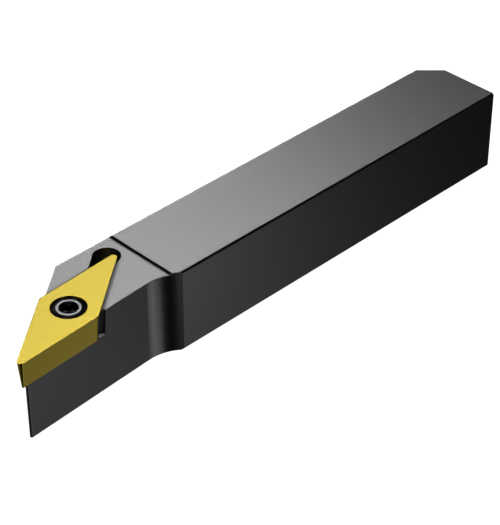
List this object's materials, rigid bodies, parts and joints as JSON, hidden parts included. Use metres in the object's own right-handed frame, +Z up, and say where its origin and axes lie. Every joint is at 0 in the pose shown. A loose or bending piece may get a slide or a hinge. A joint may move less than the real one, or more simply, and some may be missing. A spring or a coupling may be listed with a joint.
{
  "type": "turning tool holder",
  "caption": "Square-shank holder for external turning and copying, with a slim screw-clamped rhombic insert seated in a two-wall pocket at the end of a necked head.",
  "frame": {"origin": "middle of the tool's length and width, on the holder's base", "axes": "+X from the tail to the cutting nose, +Y towards the cutting side, +Z up from the base"},
  "size_m": [0.07, 0.01, 0.01],
  "materials": {
    "burnished_steel": "dark burnished, satin",
    "gold_coating": "golden hard coating, satin",
    "screw_steel": "blackened steel with a bright turned face"
  },
  "bodies": {
    "root": {"holder_body": "burnished_steel", "insert": "gold_coating", "clamp_screw": "screw_steel"}
  },
  "joints": []
}
